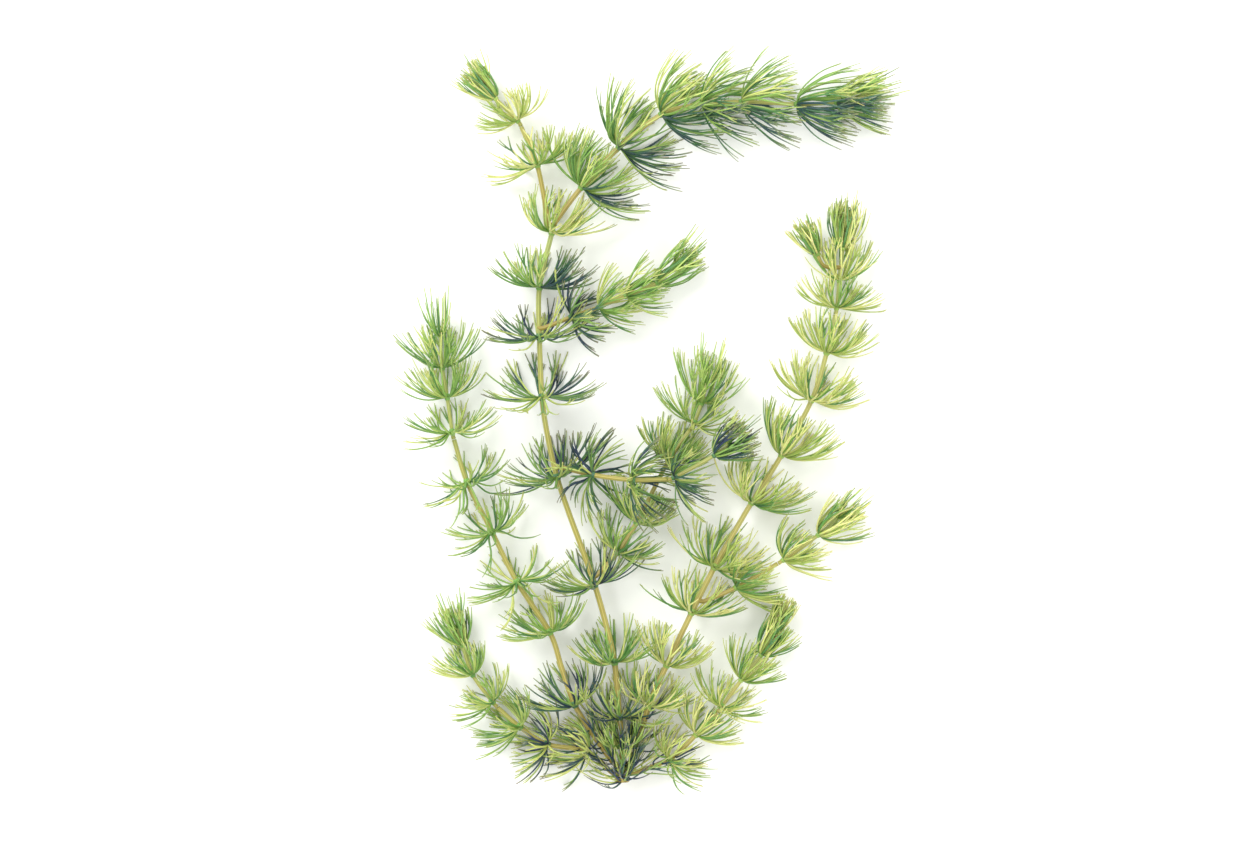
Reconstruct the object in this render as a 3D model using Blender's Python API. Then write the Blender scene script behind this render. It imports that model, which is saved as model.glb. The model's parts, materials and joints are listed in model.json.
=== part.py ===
"""Hornwort, a bushy water plant, picked and laid down on a flat surface.

The plant lies in the XY plane: +Y runs from the cut base up the shoots, +X is
across, +Z is up from the surface. Eleven leafy shoots fork from each other. Each
has a stem, a row of leaf whorls around it, and a soft tip with crowded whorls.
A small tuft without a stem of its own sits beside the right shoot's tip. Lists
give places in millimetres; everything built from them is in metres.
"""
import math
import random

import bmesh
import bpy
import numpy as np
from mathutils import Quaternion, Vector

MM = 0.001

# Where the cut base of the plant lies, so that the whole is centred on the origin
CUT_BASE = Vector((-11.9, -145.2, 0.0))

# Stem: radius of the tube at the base of the plant, at a fork and at a young tip
BASE_RADIUS = 1.15
FORK_RADIUS = 0.98
YOUNG_RADIUS = 0.8
CROWN_RADIUS = 2.9
CROWN_LENGTH = 11.0
CROWN_POINTS = (2.0, 6.5, CROWN_LENGTH)
STEM_POINT_SPACING = 17.0
LAST_POINT_ROOM = 1.0

# Whorl: the swollen ring at a stem's node, which carries the leaves
GAP = 0.3
RING_WALL = 0.65
RING_HEIGHT = 1.6

# Leaf: one stalk that forks into two prongs, curving towards the shoot's tip. The
# leaves of a whorl stand at different angles, some spread wide and some more upright.
# As the plant lies down, its leaves fan out sideways and those below are pressed.
STALK_SHARE = 0.40
STALK_ANGLE = math.radians(76)
LEAF_CURL = math.radians(27)
CURL_RANGE = (0.7, 1.3)
OPENNESS_RANGE = (0.74, 1.24)
LENGTH_RANGE = (0.92, 1.06)
PRONG_SPREAD = math.radians(10)
PRESSED_LEAN = 0.3
FLAT_LIE = 0.7
FORK_HALF_WIDTH = 0.50
FORK_HALF_THICKNESS = 0.36
FORK_ROOM = 0.60
LEAF_TIP_RADIUS = 0.08

# Tip: crowded whorls on the soft end of a shoot, then young straight leaves and a bud.
# Its leaves stand the more upright, the nearer they are to the bud.
TIP_SIDES = 6
TIP_LEAD = 3.2
TIP_OPENNESS = 1.0
TIP_CLOSING = 0.68
TIP_OPENNESS_RANGE = (0.86, 1.14)
NECK_SCALE = 0.85
BUD_SCALE = 0.9
BUD_LENGTH = 2.2
NEEDLE_RADIUS = 0.5
NEEDLE_SHARE = (0.65, 0.9)
NEEDLE_LEAN = (0.1, 0.38)
NEEDLE_SWING = 0.3

# How a leaf finds room among the others: from one try to the next it may swing and
# tilt further from its own place, and end a little shorter
LEAF_TRIES = 220
FIRST_LOOSENESS = 0.08
LAST_LOOSENESS = 0.75
LAST_SHORTENING = 0.45
SAMPLE_SPACING = 0.8
LEAF_CLEARANCE = 0.10
ROOT_SHARE = 0.4
HUB_REACH = 3.0
SPIN_TRIES = 24
RING_ROOM = 1.5
CROWD_REACH = 45.0

# Colours as seen, sRGB, and the satin skin of all of them
ROUGHNESS = 0.55
COLOURS = {
    "stem": "A99B45",
    "dark": "2F5148",
    "green": "5C9440",
    "pale": "A4B955",
}

# Each shoot: the stem's first and last radius, the tone of its leaves, where its stem
# starts and, from the bottom up, its whorls as across, along, height, leaf length and,
# where the leaves spread more or less than usual, how much. A whorl on the stem has as
# many leaves as "sides". The last whorls, as many as "tip", crowd together on the soft
# tip. "sway" turns the leaves to one side, in degrees.
SHOOTS = {
    "main": {
        "radius": (BASE_RADIUS, FORK_RADIUS), "tone": "dark", "sides": 8, "tip": 0, "sway": -13,
        "start": (0, 0, 10), "end": (-28, 222.5, 12),
        "whorls": [
            (0, 14, 11, 17, 0.9), (-1, 26, 12, 21), (-3, 48, 12, 21), (-11, 79, 12, 22, 1.1),
            (-26, 122, 13, 24, 1.2), (-32, 154, 13, 25, 1.2), (-33, 178, 13, 24, 1.2),
            (-33, 198, 12, 22), (-28, 220, 12, 23),
        ],
    },
    "top_left": {
        "radius": (FORK_RADIUS, YOUNG_RADIUS), "tone": "pale", "sides": 7, "tip": 2, "sway": 7,
        "start": (-29.3, 223.6, 12), "end": (-54, 279, 9),
        "whorls": [(-34, 247, 11, 21, 1.2), (-42, 265, 10, 18, 1.25), (-51, 274, 9, 18)],
    },
    "top_right": {
        "radius": (FORK_RADIUS, YOUNG_RADIUS), "tone": "green", "sides": 8, "tip": 4, "sway": -4,
        "start": (-26.7, 223.9, 12), "end": (94, 274, 11),
        "whorls": [
            (-16, 238, 13, 27), (-1, 254, 13, 29), (16, 267, 14, 29, 0.85),
            (32, 271, 14, 28, 0.85), (48, 272, 14, 29, 0.95), (70, 271, 13, 30, 1.15),
            (86, 272, 12, 25, 1.45),
        ],
    },
    "upper_side": {
        "radius": (0.9, 0.75), "tone": "dark", "sides": 7, "tip": 3, "sway": 0,
        "start": (-31.3, 181.6, 13.8), "end": (22, 208, 10),
        "whorls": [
            (-20, 186, 14, 19), (-9, 190, 13, 20), (2, 194.5, 12, 19, 1.1), (14.5, 200, 11, 22),
        ],
    },
    "middle_side": {
        "radius": (0.95, 0.8), "tone": "dark", "sides": 7, "tip": 2, "sway": -5,
        "start": (-24.7, 126.0, 14.0), "end": (42.5, 135.5, 24),
        "whorls": [
            (-12, 123, 19, 20, 1.4), (4, 121, 23, 21), (21, 122, 23, 22, 1.2), (37, 131, 24, 20, 1.15),
        ],
    },
    "rising_side": {
        "radius": (0.95, 0.8), "tone": "green", "sides": 7, "tip": 2, "sway": 8,
        "start": (-10.4, 82.4, 10.5), "end": (34, 160, 9),
        "whorls": [
            (-1.5, 92, 10, 20), (6, 104, 9, 20), (19, 129, 9, 20), (29, 143.5, 9, 23, 1.35),
            (32, 152, 9, 24, 1.4),
        ],
    },
    "left": {
        "radius": (1.1, 0.85), "tone": "green", "sides": 7, "tip": 3, "sway": 4,
        "start": (-3.3, 7.4, 10.1), "end": (-73, 179, 10),
        "whorls": [
            (-19, 31, 12, 21, 0.9), (-29, 60, 12, 21, 1.15), (-42, 80, 12, 21, 1.25),
            (-52, 100, 12, 20, 1.35), (-62, 120, 12, 20, 1.4), (-68, 140, 11, 22, 1.35),
            (-70, 154, 11, 21, 1.35), (-72, 166, 10, 23, 1.6),
        ],
    },
    "short_left": {
        "radius": (1.0, 0.75), "tone": "green", "sides": 7, "tip": 3, "sway": 14,
        "start": (-3.9, 3.4, 8.9), "end": (-66, 62, 9),
        "whorls": [
            (-14, 12, 10, 19), (-30, 15, 10, 19, 1.1), (-41, 22, 11, 19, 1.1),
            (-52, 32, 10, 18, 1.3), (-60, 43, 10, 17, 1.4), (-64, 55, 9, 18, 1.4),
        ],
    },
    "right": {
        "radius": (1.15, 0.85), "tone": "pale", "sides": 7, "tip": 3, "sway": -4,
        "start": (3.7, 7.6, 10.1), "end": (89, 221, 10),
        "whorls": [
            (11, 31, 12, 20), (18, 47, 12, 21), (28, 68, 12, 22), (37, 86, 12, 25),
            (52, 112, 12, 24), (64, 131, 12, 24), (76, 153, 12, 22), (82, 172, 12, 21),
            (86, 190, 11, 20, 1.2), (87, 201, 11, 20, 1.15), (88.5, 214, 10, 20),
        ],
    },
    "right_side": {
        "radius": (0.9, 0.75), "tone": "pale", "sides": 7, "tip": 2, "sway": -8,
        "start": (32.4, 72.2, 12.0), "end": (87, 106, 9),
        "whorls": [(46, 78, 12, 20), (65, 89, 11, 20, 1.1), (79, 99, 10, 21, 1.15)],
    },
    "short_right": {
        "radius": (1.0, 0.75), "tone": "pale", "sides": 7, "tip": 4, "sway": 0,
        "start": (3.9, 3.2, 8.9), "end": (62, 63, 9),
        "whorls": [
            (19, 9, 10, 18), (30, 19, 10, 19), (40, 30, 10, 19, 1.25), (48, 41, 10, 19, 1.25),
            (56, 51, 9, 18, 1.2), (60, 59, 9, 17),
        ],
    },
    "right_tuft": {
        "tone": "pale", "tip": 1, "sway": 0,
        "start": (81.0, 206.2, 12), "end": (75.5, 216.5, 12),
        "whorls": [(77.9, 211.6, 12, 15, 0.85)],
    },
}


def clear_scene():
    """Start from an empty scene."""
    for thing in list(bpy.data.objects):
        bpy.data.objects.remove(thing)


def linear(hex_colour):
    """The linear red, green, blue and alpha of an sRGB hex colour."""
    channels = [int(hex_colour[i:i + 2], 16) / 255 for i in (0, 2, 4)]
    return [c / 12.92 if c <= 0.04045 else ((c + 0.055) / 1.055) ** 2.4 for c in channels] + [1.0]


def make_material(name, tone):
    """A soft, slightly waxy plant surface in one of the plant's tones."""
    material = bpy.data.materials.new(name)
    material.use_nodes = True
    shader = material.node_tree.nodes["Principled BSDF"]
    shader.inputs["Base Color"].default_value = linear(COLOURS[tone])
    shader.inputs["Roughness"].default_value = ROUGHNESS
    shader.inputs["Metallic"].default_value = 0.0
    return material


def on_plant(place):
    """A place from the lists, in millimetres from the origin."""
    return CUT_BASE + Vector(place[:3])


class Route:
    """The smooth middle line of a shoot through its start, its whorls and its end."""

    STEPS = 10
    HEADING_REACH = 0.5

    def __init__(self, knots):
        padded = [knots[0] * 2 - knots[1]] + knots + [knots[-1] * 2 - knots[-2]]
        self.points = []
        for before, here, there, after in zip(padded, padded[1:], padded[2:], padded[3:]):
            for step in range(self.STEPS):
                t = step / self.STEPS
                self.points.append(0.5 * (
                    2 * here
                    + (there - before) * t
                    + (2 * before - 5 * here + 4 * there - after) * t ** 2
                    + (3 * here - before - 3 * there + after) * t ** 3
                ))
        self.points.append(knots[-1])
        self.along = [0.0]
        for here, there in zip(self.points, self.points[1:]):
            self.along.append(self.along[-1] + (there - here).length)
        self.knot_along = self.along[::self.STEPS]
        self.length = self.along[-1]

    def place(self, distance):
        """The point at a distance from the start."""
        for index in range(len(self.points) - 1):
            if distance <= self.along[index + 1] or index == len(self.points) - 2:
                span = self.along[index + 1] - self.along[index]
                share = (distance - self.along[index]) / span
                return self.points[index].lerp(self.points[index + 1], share)

    def heading(self, distance):
        """The direction towards the tip at a distance from the start."""
        low = max(distance - self.HEADING_REACH, 0.0)
        high = min(distance + self.HEADING_REACH, self.length)
        return (self.place(high) - self.place(low)).normalized()


class Crowd:
    """All the stems and leaves built so far, as tapering rods that fill space."""

    def __init__(self):
        self.rods = np.zeros((0, 8))

    def add(self, rods):
        rows = [[*start, *end, first, last] for start, end, first, last in rods]
        self.rods = np.vstack([self.rods, np.array(rows)])

    def near(self, hub):
        """The rods that a leaf from this hub could reach, and those of them not joined to it."""
        place = np.array(hub)
        middle = (self.rods[:, 0:3] + self.rods[:, 3:6]) / 2
        rods = self.rods[np.linalg.norm(middle - place, axis=1) < CROWD_REACH]
        starts_here = np.linalg.norm(rods[:, 0:3] - place, axis=1) < HUB_REACH
        ends_here = np.linalg.norm(rods[:, 3:6] - place, axis=1) < HUB_REACH
        return rods, rods[~starts_here & ~ends_here]

    @staticmethod
    def room(rods, start, end, first, last, skip):
        """The smallest free distance between a new rod, past its first stretch, and the rods."""
        count = max(2, int((end - start).length / SAMPLE_SPACING))
        shares = np.linspace(skip, 1.0, count)[:, None]
        points = np.array(start) * (1 - shares) + np.array(end) * shares
        radii = (first + (last - first) * shares[:, 0])[:, None]
        a = rods[None, :, 0:3]
        along = rods[None, :, 3:6] - a
        offset = points[:, None, :] - a
        t = np.clip((offset * along).sum(2) / (along ** 2).sum(2), 0.0, 1.0)
        distance = np.linalg.norm(offset - along * t[:, :, None], axis=2)
        rod_radii = rods[None, :, 6] + (rods[None, :, 7] - rods[None, :, 6]) * t
        return float((distance - rod_radii - radii).min())


def lying(outward):
    """A leaf's direction away from its stem once the plant lies flat."""
    return Vector((outward.x, outward.y, outward.z * FLAT_LIE)).normalized()


def swayed(shoot, heading):
    """The direction that the leaves of a whorl close towards, turned to the shoot's side."""
    return Quaternion((0, 0, 1), math.radians(shoot["sway"])) @ heading


class Leaf:
    """The middle lines of one forked leaf, which leaves the shoot at a base point."""

    def __init__(self, base, outward, axis, length, stalk_angle, curl):
        self.axis = axis
        self.root_side = axis.cross(outward).normalized()
        stalk = outward * math.sin(stalk_angle) + axis * math.cos(stalk_angle)
        prong_angle = stalk_angle - curl
        onward = outward * math.sin(prong_angle) + axis * math.cos(prong_angle)
        self.base = base
        self.fork = base + stalk * length * STALK_SHARE
        self.fork.z = max(self.fork.z, FORK_HALF_WIDTH)
        reach = length * (1 - STALK_SHARE)
        self.tips = []
        for sign in (1, -1):
            sideways = self.root_side * (sign * math.sin(PRONG_SPREAD))
            turned = onward * math.cos(PRONG_SPREAD) + sideways
            tip = self.fork + turned * reach
            tip.z = max(tip.z, 0.0)
            self.tips.append(tip)
        arriving = (self.fork - base).normalized()
        leaving = ((self.tips[0] + self.tips[1]) / 2 - self.fork).normalized()
        self.facing = (arriving + leaving).normalized()
        side = self.tips[0] - self.tips[1]
        self.side = (side - self.facing * side.dot(self.facing)).normalized()

    def rods(self):
        stalk = (self.base, self.fork, RING_HEIGHT / 2, FORK_ROOM)
        return [stalk] + [(self.fork, tip, FORK_ROOM, LEAF_TIP_RADIUS) for tip in self.tips]

    def room(self, rods, strangers):
        """The free distance around the leaf. Its root may touch what is joined to its hub."""
        stalk, *prongs = self.rods()
        distances = [Crowd.room(strangers, *stalk, skip=0.0)]
        distances.append(Crowd.room(rods, *stalk, skip=ROOT_SHARE))
        distances += [Crowd.room(rods, *prong, skip=0.0) for prong in prongs]
        return min(distances)


def choose_leaf(hub, base, outward, axis, length, openness, crowd, rng):
    """Try a leaf at slightly different angles until it is clear of its neighbours."""
    rods, strangers = crowd.near(hub)
    pressed = 1 - PRESSED_LEAN * max(0.0, -outward.z)
    best = None
    for attempt in range(LEAF_TRIES):
        share = attempt / LEAF_TRIES
        looseness = FIRST_LOOSENESS + (LAST_LOOSENESS - FIRST_LOOSENESS) * share
        swing = axis.cross(outward) * rng.uniform(-looseness, looseness)
        tried = Leaf(
            base,
            (outward + swing).normalized(),
            axis,
            length * rng.uniform(*LENGTH_RANGE) * (1 - LAST_SHORTENING * share),
            STALK_ANGLE * pressed * openness * rng.uniform(1 - looseness, 1 + looseness),
            LEAF_CURL * rng.uniform(*CURL_RANGE),
        )
        room = tried.room(rods, strangers)
        if best is None or room > best[0]:
            best = (room, tried)
        if room > LEAF_CLEARANCE:
            break
    crowd.add(best[1].rods())
    return best[1]


def choose_needle(base, outward, axis, length, crowd, rng):
    """The tip of a young straight leaf beside the bud, clear of its neighbours."""
    rods, _strangers = crowd.near(base)
    best = None
    for attempt in range(LEAF_TRIES):
        share = attempt / LEAF_TRIES
        lean = rng.uniform(NEEDLE_LEAN[0], NEEDLE_LEAN[1] * (1 + share))
        swing = axis.cross(outward) * rng.uniform(-NEEDLE_SWING, NEEDLE_SWING)
        reach = length * rng.uniform(*NEEDLE_SHARE) * (1 - LAST_SHORTENING * share)
        tip = base + (axis + outward * lean + swing * lean).normalized() * reach
        tip.z = max(tip.z, 0.0)
        room = Crowd.room(rods, base, tip, NEEDLE_RADIUS, LEAF_TIP_RADIUS, skip=ROOT_SHARE)
        if best is None or room > best[0]:
            best = (room, tip)
        if room > LEAF_CLEARANCE:
            break
    crowd.add([(base, best[1], NEEDLE_RADIUS, LEAF_TIP_RADIUS)])
    return best[1]


def grow_leaf(bm, face, leaf):
    """Extrude a leaf out of a face of the ring: its stalk, then two pointed prongs."""
    upward = leaf.facing.cross(leaf.side)
    middle = face.calc_center_median()
    end = bmesh.ops.extrude_discrete_faces(bm, faces=[face])["faces"][0]
    for corner in end.verts:
        offset = corner.co - middle
        sideways = math.copysign(FORK_HALF_WIDTH, offset.dot(leaf.root_side))
        thickness = math.copysign(FORK_HALF_THICKNESS, offset.dot(leaf.axis))
        corner.co = leaf.fork + leaf.side * sideways + upward * thickness
    corners = list(end.verts)
    other, _loop = bmesh.utils.face_split(end, corners[0], corners[2])
    halves = sorted((end, other), key=lambda half: -half.calc_center_median().dot(leaf.side))
    for half, tip in zip(halves, leaf.tips):
        point = bmesh.ops.poke(bm, faces=[half])["verts"][0]
        point.co = tip


def add_object(name, bm, hub, tone, collection, parent):
    """Turn a finished bmesh, in millimetres, into a named object that sits at its hub."""
    for vert in bm.verts:
        vert.co.z = max(vert.co.z, 0.0)
        vert.co = (vert.co - hub) * MM
    bmesh.ops.recalc_face_normals(bm, faces=bm.faces[:])
    mesh = bpy.data.meshes.new(name)
    bm.to_mesh(mesh)
    bm.free()
    mesh.materials.append(make_material(name + "_surface", tone))
    thing = bpy.data.objects.new(name, mesh)
    thing.location = hub * MM
    thing.parent = parent
    collection.objects.link(thing)
    return thing


def build_stem(name, shoot, route, last, collection, parent):
    """The stem as a tapering round tube with a point at each whorl and between them."""
    knots = [along for along in route.knot_along if along < last - LAST_POINT_ROOM]
    knots.append(last)
    places = [0.0]
    for here, there in zip(knots, knots[1:]):
        count = max(1, round((there - here) / STEM_POINT_SPACING))
        places += [here + (there - here) * (step + 1) / count for step in range(count)]
    if name == "main":
        places[1:1] = CROWN_POINTS
    curve = bpy.data.curves.new(name + "_stem", "CURVE")
    curve.dimensions = "3D"
    curve.bevel_depth = MM
    curve.bevel_resolution = 1
    curve.use_fill_caps = True
    line = curve.splines.new("POLY")
    line.points.add(len(places) - 1)
    rods = []
    for point, along in zip(line.points, places):
        place = route.place(along)
        point.co = (*(place * MM), 1.0)
        point.radius = stem_radius(name, shoot, route, along)
    for here, there in zip(places, places[1:]):
        rods.append((
            route.place(here), route.place(there),
            stem_radius(name, shoot, route, here), stem_radius(name, shoot, route, there),
        ))
    curve.materials.append(make_material(name + "_stem_surface", "stem"))
    thing = bpy.data.objects.new(name + "_stem", curve)
    thing.parent = parent
    collection.objects.link(thing)
    return rods


def stem_radius(name, shoot, route, along):
    """A stem thins towards its tip, and the main stem swells to a crown at its foot."""
    first, last = shoot["radius"]
    radius = first + (last - first) * along / route.length
    if name == "main" and along < CROWN_LENGTH:
        swell = math.sin(math.pi * (along + CROWN_LENGTH) / (2 * CROWN_LENGTH))
        radius += (CROWN_RADIUS - radius) * swell
    return radius


def build_ring(sides, radius, hub, axis):
    """The swollen ring at a node: a short band given a wall, in place around the stem."""
    bm = bmesh.new()
    corner = math.cos(math.pi / sides)
    outer = (radius + GAP + RING_WALL) / corner
    bmesh.ops.create_cone(
        bm, cap_ends=False, segments=sides, radius1=outer, radius2=outer, depth=RING_HEIGHT
    )
    bmesh.ops.solidify(bm, geom=bm.faces[:], thickness=RING_WALL)
    bm.normal_update()
    faces = [
        face for face in bm.faces
        if abs(face.normal.z) < 0.1 and face.normal.dot(face.calc_center_median()) > 0
    ]
    turn = axis.to_track_quat("Z", "X")
    for vert in bm.verts:
        vert.co = hub + turn @ vert.co
    bm.normal_update()
    return bm, faces


def build_whorl(name, shoot, radius, hub, axis, whorl, crowd, rng, collection, parent):
    """One whorl: its ring, and a forked leaf from each of the ring's outer faces."""
    length, spread = leaf_size(whorl)
    bm, faces = build_ring(shoot["sides"], radius, hub, axis)
    spin = Quaternion(axis, choose_spin(hub, axis, faces, length, crowd, rng))
    for vert in bm.verts:
        vert.co = hub + spin @ (vert.co - hub)
    bm.normal_update()
    leaning = swayed(shoot, axis)
    for face in faces:
        base = face.calc_center_median()
        outward = lying(face.normal)
        openness = spread * rng.uniform(*OPENNESS_RANGE)
        leaf = choose_leaf(hub, base, outward, leaning, length, openness, crowd, rng)
        grow_leaf(bm, face, leaf)
    return add_object(name, bm, hub, shoot["tone"], collection, parent)


def choose_spin(hub, axis, faces, length, crowd, rng):
    """The turn about the stem that leaves the most room, so a side stem passes between leaves."""
    _rods, strangers = crowd.near(hub)
    start = rng.uniform(0, math.pi)
    best = None
    for step in range(SPIN_TRIES):
        angle = start + 2 * math.pi / len(faces) * step / SPIN_TRIES
        spin = Quaternion(axis, angle)
        rooms = []
        for face in faces:
            base = hub + spin @ (face.calc_center_median() - hub)
            leaf = Leaf(base, spin @ face.normal, axis, length, STALK_ANGLE, LEAF_CURL)
            rooms.append(Crowd.room(strangers, *leaf.rods()[0], skip=0.0))
        if best is None or min(rooms) > best[0]:
            best = (min(rooms), angle)
    return best[1]


def leaf_size(whorl):
    """The length of a whorl's leaves and how much they spread."""
    return whorl[3], whorl[4] if len(whorl) > 4 else 1.0


def tip_rings(shoot, route, first):
    """How far along the shoot each crowded whorl of its tip is, and its leaves' length and spread."""
    whorls = zip(route.knot_along[1:-1], shoot["whorls"])
    return [(along, *leaf_size(whorl)) for along, whorl in whorls if along > first]


def fill_crowd(name, shoot, route, first, crowd):
    """Note the rings of a shoot and the rod of its tip, so that all leaves keep clear."""
    half = RING_HEIGHT / 2
    for along in route.knot_along[1:-1]:
        if along < first:
            radius = stem_radius(name, shoot, route, along) + GAP + RING_WALL + RING_ROOM
            crowd.add([(route.place(along - half), route.place(along + half), radius, radius)])
    if shoot["tip"]:
        stops = [first] + [along for along, _length, _spread in tip_rings(shoot, route, first)]
        stops.append(route.length)
        for here, there in zip(stops, stops[1:]):
            crowd.add([(route.place(here), route.place(there), YOUNG_RADIUS, YOUNG_RADIUS)])


def build_tip(name, shoot, route, first, crowd, rng, collection, parent):
    """The soft end of a shoot: a rod with crowded whorls, small upright leaves and a bud."""
    rings = tip_rings(shoot, route, first)
    bud = route.length
    half = RING_HEIGHT / 2
    bm = bmesh.new()
    radius = YOUNG_RADIUS
    bmesh.ops.create_cone(
        bm, cap_ends=True, segments=TIP_SIDES, radius1=radius, radius2=radius, depth=half
    )
    bm.normal_update()
    cap = max(bm.faces, key=lambda face: face.calc_center_median().z)
    heading = route.heading(first)
    turn = heading.to_track_quat("Z", "X")
    start = route.place(first)
    for vert in bm.verts:
        vert.co = start + turn @ (vert.co + Vector((0, 0, half / 2)))
    here = first + half

    def extend(cap, here, there, scale):
        """Lengthen the rod to a distance along the route, and return its end and its new sides."""
        bend = route.heading(here).rotation_difference(route.heading(there))
        old = route.place(here)
        new = route.place(there)
        cap = bmesh.ops.extrude_discrete_faces(bm, faces=[cap])["faces"][0]
        for vert in cap.verts:
            vert.co = new + bend @ (vert.co - old) * scale
        sides = [face for edge in cap.edges for face in edge.link_faces if face is not cap]
        return cap, sides

    bands = []
    for along, length, spread in rings:
        cap, _sides = extend(cap, here, along - half, 1.0)
        cap, sides = extend(cap, along - half, along + half, 1.0)
        here = along + half
        bands.append((sides, along, length, spread))
    cap, _sides = extend(cap, here, bud - half, NECK_SCALE)
    cap, bud_sides = extend(cap, bud - half, bud, BUD_SCALE)
    bm.normal_update()
    for sides, along, length, spread in bands:
        axis = route.heading(along)
        leaning = swayed(shoot, axis)
        share = (along - first) / (bud - first)
        for face in sides:
            base = face.calc_center_median()
            outward = lying(face.normal - axis * face.normal.dot(axis))
            openness = spread * (TIP_OPENNESS - TIP_CLOSING * share) * rng.uniform(*TIP_OPENNESS_RANGE)
            hub = route.place(along)
            leaf = choose_leaf(hub, base, outward, leaning, length, openness, crowd, rng)
            grow_leaf(bm, face, leaf)
    axis = route.heading(bud)
    for face in bud_sides:
        base = face.calc_center_median()
        outward = (face.normal - axis * face.normal.dot(axis)).normalized()
        needle = choose_needle(base, outward, axis, rings[-1][1], crowd, rng)
        point = bmesh.ops.poke(bm, faces=[face])["verts"][0]
        point.co = needle
    bud_point = bmesh.ops.poke(bm, faces=[cap])["verts"][0]
    bud_point.co = route.place(bud) + axis * BUD_LENGTH
    return add_object(name + "_tip", bm, start, shoot["tone"], collection, parent)


def build_hornwort():
    """All shoots: first every stem, so that leaves can keep clear, then whorls and tips."""
    clear_scene()
    collection = bpy.data.collections.new("hornwort")
    bpy.context.scene.collection.children.link(collection)
    centre = bpy.data.objects.new("hornwort_centre", None)
    collection.objects.link(centre)
    crowd = Crowd()
    routes = {}
    breaks = {}
    for name, shoot in SHOOTS.items():
        knots = [on_plant(shoot["start"])]
        knots += [on_plant(whorl) for whorl in shoot["whorls"]]
        knots.append(on_plant(shoot["end"]))
        route = Route(knots)
        routes[name] = route
        on_stem = len(shoot["whorls"]) - shoot["tip"]
        breaks[name] = route.length
        if shoot["tip"]:
            breaks[name] = route.knot_along[on_stem + 1] - TIP_LEAD
        if on_stem:
            crowd.add(build_stem(name, shoot, route, breaks[name], collection, centre))
        else:
            breaks[name] = 0.0
        fill_crowd(name, shoot, route, breaks[name], crowd)
    for name, shoot in reversed(SHOOTS.items()):
        route = routes[name]
        rng = random.Random(name)
        on_stem = len(shoot["whorls"]) - shoot["tip"]
        for number in range(on_stem):
            along = route.knot_along[number + 1]
            build_whorl(
                "{}_whorl_{}".format(name, number + 1), shoot,
                stem_radius(name, shoot, route, along),
                route.place(along), route.heading(along), shoot["whorls"][number],
                crowd, rng, collection, centre,
            )
        if shoot["tip"]:
            build_tip(name, shoot, route, breaks[name] + GAP, crowd, rng, collection, centre)


build_hornwort()
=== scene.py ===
import json
import math
import random
import re

import bmesh
import bpy
import numpy as np
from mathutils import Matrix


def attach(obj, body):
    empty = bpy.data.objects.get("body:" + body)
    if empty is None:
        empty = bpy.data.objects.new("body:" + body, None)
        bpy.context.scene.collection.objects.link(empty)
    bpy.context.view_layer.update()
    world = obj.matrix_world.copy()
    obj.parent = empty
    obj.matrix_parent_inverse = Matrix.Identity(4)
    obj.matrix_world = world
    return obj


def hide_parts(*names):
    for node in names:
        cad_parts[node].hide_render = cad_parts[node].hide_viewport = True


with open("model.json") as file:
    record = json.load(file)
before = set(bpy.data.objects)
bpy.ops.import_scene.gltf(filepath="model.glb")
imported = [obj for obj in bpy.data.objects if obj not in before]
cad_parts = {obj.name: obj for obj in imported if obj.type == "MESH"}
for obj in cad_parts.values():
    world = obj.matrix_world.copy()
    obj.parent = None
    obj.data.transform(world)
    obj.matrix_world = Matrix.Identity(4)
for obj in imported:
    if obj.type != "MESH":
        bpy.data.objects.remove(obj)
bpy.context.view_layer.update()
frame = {"nodes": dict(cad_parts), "record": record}

# The plant's plan. A picked hornwort is a bundle of thin stems that fork from one crown. Each
# stem runs through whorls of forked leaves to a soft growing tip. The solids in the frame say
# where every stem, leaf and bud is, so what is grown below starts from their corners.
MM = 0.001
SAME_PLACE = 0.001 * MM
SAME_PLANE = math.radians(0.5)
STEM_SIDES = 6
ROUND_END = 1.1

# A corner of a solid with only long edges is a point: of a prong, a young leaf or the bud
FREE_EDGE = 2.0 * MM
PRONG_EDGES = 3
NEEDLE_EDGES = 4
BUD_EDGES = 6


def unit(vector):
    return vector / np.linalg.norm(vector)


def welded(node):
    """A node's solid with its corners joined up."""
    bm = bmesh.new()
    bm.from_mesh(frame["nodes"][node].data)
    bmesh.ops.remove_doubles(bm, verts=bm.verts[:], dist=SAME_PLACE)
    bm.verts.index_update()
    return bm


def places(verts):
    return np.array([vert.co for vert in sorted(verts, key=lambda vert: vert.index)], float)


def next_to(vert):
    return {edge.other_vert(vert) for edge in vert.link_edges}


def is_stem_end(face):
    """Whether a face is one of the round flat ends of a stem's solid."""
    reach = np.linalg.norm(places(face.verts) - np.array(face.calc_center_median()), axis=1)
    return len(face.verts) == STEM_SIDES and reach.max() < ROUND_END * reach.min()


def read_stem(node):
    """Rows of x, y, z and radius, one for each ring of a stem's solid, thick end first."""
    bm = welded(node)
    bmesh.ops.dissolve_limit(bm, angle_limit=SAME_PLANE, verts=[], edges=bm.edges[:])
    end = next(face for face in bm.faces if is_stem_end(face))
    ring = set(end.verts)
    seen = set(ring)
    rows = []
    while ring:
        corners = places(ring)
        middle = corners.mean(axis=0)
        rows.append([*middle, np.linalg.norm(corners - middle, axis=1).mean()])
        ring = set().union(*[next_to(vert) for vert in ring]) - seen
        seen |= ring
    bm.free()
    if rows[0][3] < rows[-1][3]:
        rows.reverse()
    return np.array(rows)


def free_points(bm):
    """The corners of a solid that only have long edges."""
    return [
        vert for vert in bm.verts
        if min(edge.calc_length() for edge in vert.link_edges) > FREE_EDGE
    ]


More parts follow.
